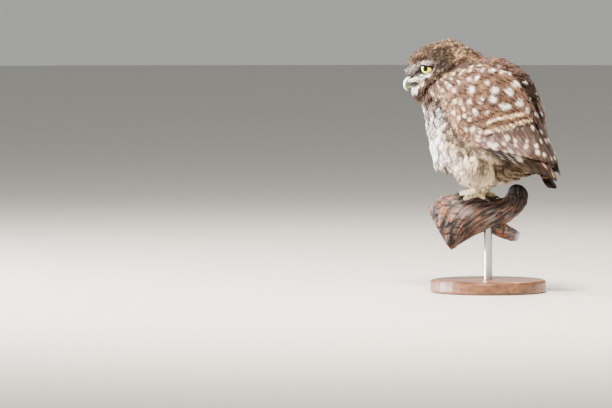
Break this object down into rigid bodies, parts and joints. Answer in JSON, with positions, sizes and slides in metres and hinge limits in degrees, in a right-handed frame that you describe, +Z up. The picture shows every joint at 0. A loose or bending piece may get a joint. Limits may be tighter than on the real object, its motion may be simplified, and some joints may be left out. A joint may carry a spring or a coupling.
{
  "type": "little owl display model",
  "caption": "Life-size still model of a young little owl looking over its left shoulder, gripping a short length of branch on a rod and round base.",
  "frame": {"origin": "centre of the flat underside of the round base", "axes": "+Z up; the bird's body faces -Y, its left side is +X, its head is turned about 50 degrees to its left"},
  "size_m": [0.11, 0.1548, 0.2388],
  "materials": {
    "body_feathers": "soft pale feathers with brown streaks",
    "head_feathers": "short warm brown feathers with pale streaks",
    "wing_feathers": "smooth brown vanes with white spots and cream bars",
    "leg_feathers": "hair-like cream feathers",
    "bill_horn": "satin greenish horn",
    "claw_horn": "satin dark horn",
    "eye": "wet yellow iris with a black pupil",
    "weathered_wood": "weathered, cracked dark branch",
    "rod_steel": "brushed along the rod",
    "base_wood": "turned, waxed wood"
  },
  "bodies": {
    "root": {"torso": "body_feathers", "neck": "head_feathers", "head": "head_feathers", "bill_upper": "bill_horn", "bill_lower": "bill_horn", "eye_left": "eye", "eye_right": "eye", "wing_left": "wing_feathers", "wing_right": "wing_feathers", "tail": "wing_feathers", "leg_left": "leg_feathers", "leg_right": "leg_feathers", "foot_left": "leg_feathers", "foot_right": "leg_feathers", "claw_left_inner": "claw_horn", "claw_left_middle": "claw_horn", "claw_left_outer": "claw_horn", "claw_left_hind": "claw_horn", "claw_right_inner": "claw_horn", "claw_right_middle": "claw_horn", "claw_right_outer": "claw_horn", "claw_right_hind": "claw_horn", "stand_perch": "weathered_wood", "stand_rod": "rod_steel", "stand_base": "base_wood"}
  },
  "joints": []
}
